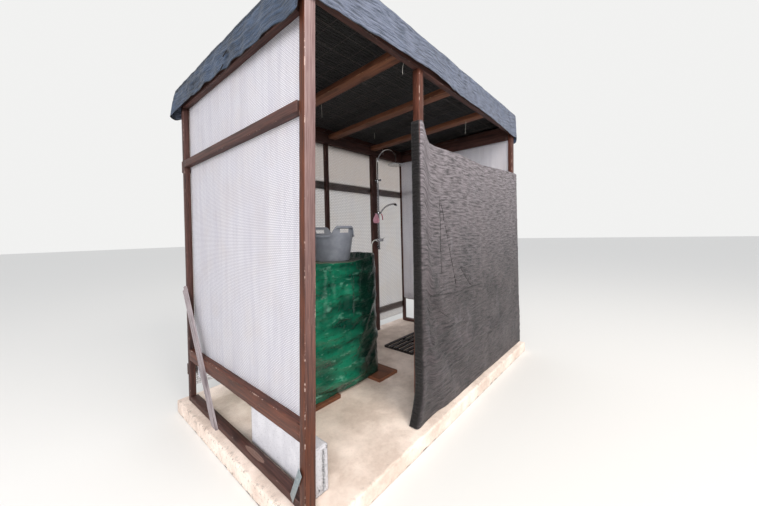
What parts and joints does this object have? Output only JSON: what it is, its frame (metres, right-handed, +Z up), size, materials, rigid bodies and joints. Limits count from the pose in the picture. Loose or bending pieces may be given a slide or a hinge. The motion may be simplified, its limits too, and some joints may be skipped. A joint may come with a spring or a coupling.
{
  "type": "timber-framed garden wash hut",
  "caption": "Open-fronted timber wash hut on a concrete slab, with white sheeted walls, a black fabric roof cover and screen, a covered water tank, a tub and a shower.",
  "frame": {"origin": "under the middle of the concrete slab, on the ground", "axes": "+X along the front to the right as seen from outside, +Y from the front to the back, +Z up"},
  "size_m": [3.128, 1.844, 2.8343],
  "materials": {
    "concrete": "cast concrete, worn, matte, speckled",
    "stained_timber": "softwood with a worn dark red-brown stain",
    "raw_timber": "orange-brown sawn softwood",
    "grey_timber": "weathered split softwood",
    "mesh_wire": "welded wire, dull",
    "black_fabric": "woven black shade fabric with a bluish sheen",
    "white_sheeting": "translucent white woven sheeting, ribbed",
    "tank_plastic": "blow-moulded polyethylene",
    "green_tarpaulin": "coated woven tarpaulin, glossy",
    "grey_plastic": "moulded polyethylene",
    "chrome": "chromed brass",
    "white_hose": "reinforced hose",
    "pink_mesh": "gathered nylon net",
    "dark_mat": "dark stained slats, damp",
    "zinc": "galvanised sheet steel",
    "white_foam": "speckled off-white expanded foam, mould-stained"
  },
  "bodies": {
    "root": {"slab": "concrete", "sill_left": "stained_timber", "sill_right": "stained_timber", "post_front_left": "stained_timber", "post_door": "stained_timber", "post_front_right": "stained_timber", "post_back_left": "stained_timber", "post_back_middle": "stained_timber", "post_back_right": "stained_timber", "shower_post": "stained_timber", "beam_front": "stained_timber", "plate_back": "stained_timber", "top_rail_left": "stained_timber", "top_rail_right": "stained_timber", "mid_rail_left": "stained_timber", "mid_rail_right": "stained_timber", "low_rail_left": "stained_timber", "low_rail_right": "stained_timber", "mid_rail_back": "stained_timber", "low_rail_back": "stained_timber", "rafter_1": "raw_timber", "rafter_2": "raw_timber", "rafter_3": "raw_timber", "roof_mesh": "mesh_wire", "roof_cover": "black_fabric", "sheet_left": "white_sheeting", "sheet_right": "white_sheeting", "sheet_back": "white_sheeting", "front_screen": "black_fabric", "tank_boards": "raw_timber", "tank": "tank_plastic", "tank_cover": "green_tarpaulin", "tub": "grey_plastic", "riser": "chrome", "shower_arm": "chrome", "rain_head": "chrome", "mixer": "chrome", "hand_shower": "chrome", "feed_hose": "white_hose", "sponge": "pink_mesh", "floor_mat": "dark_mat", "leaning_plank": "grey_timber", "nail_plate": "zinc", "foam_block": "white_foam"}
  },
  "joints": []
}
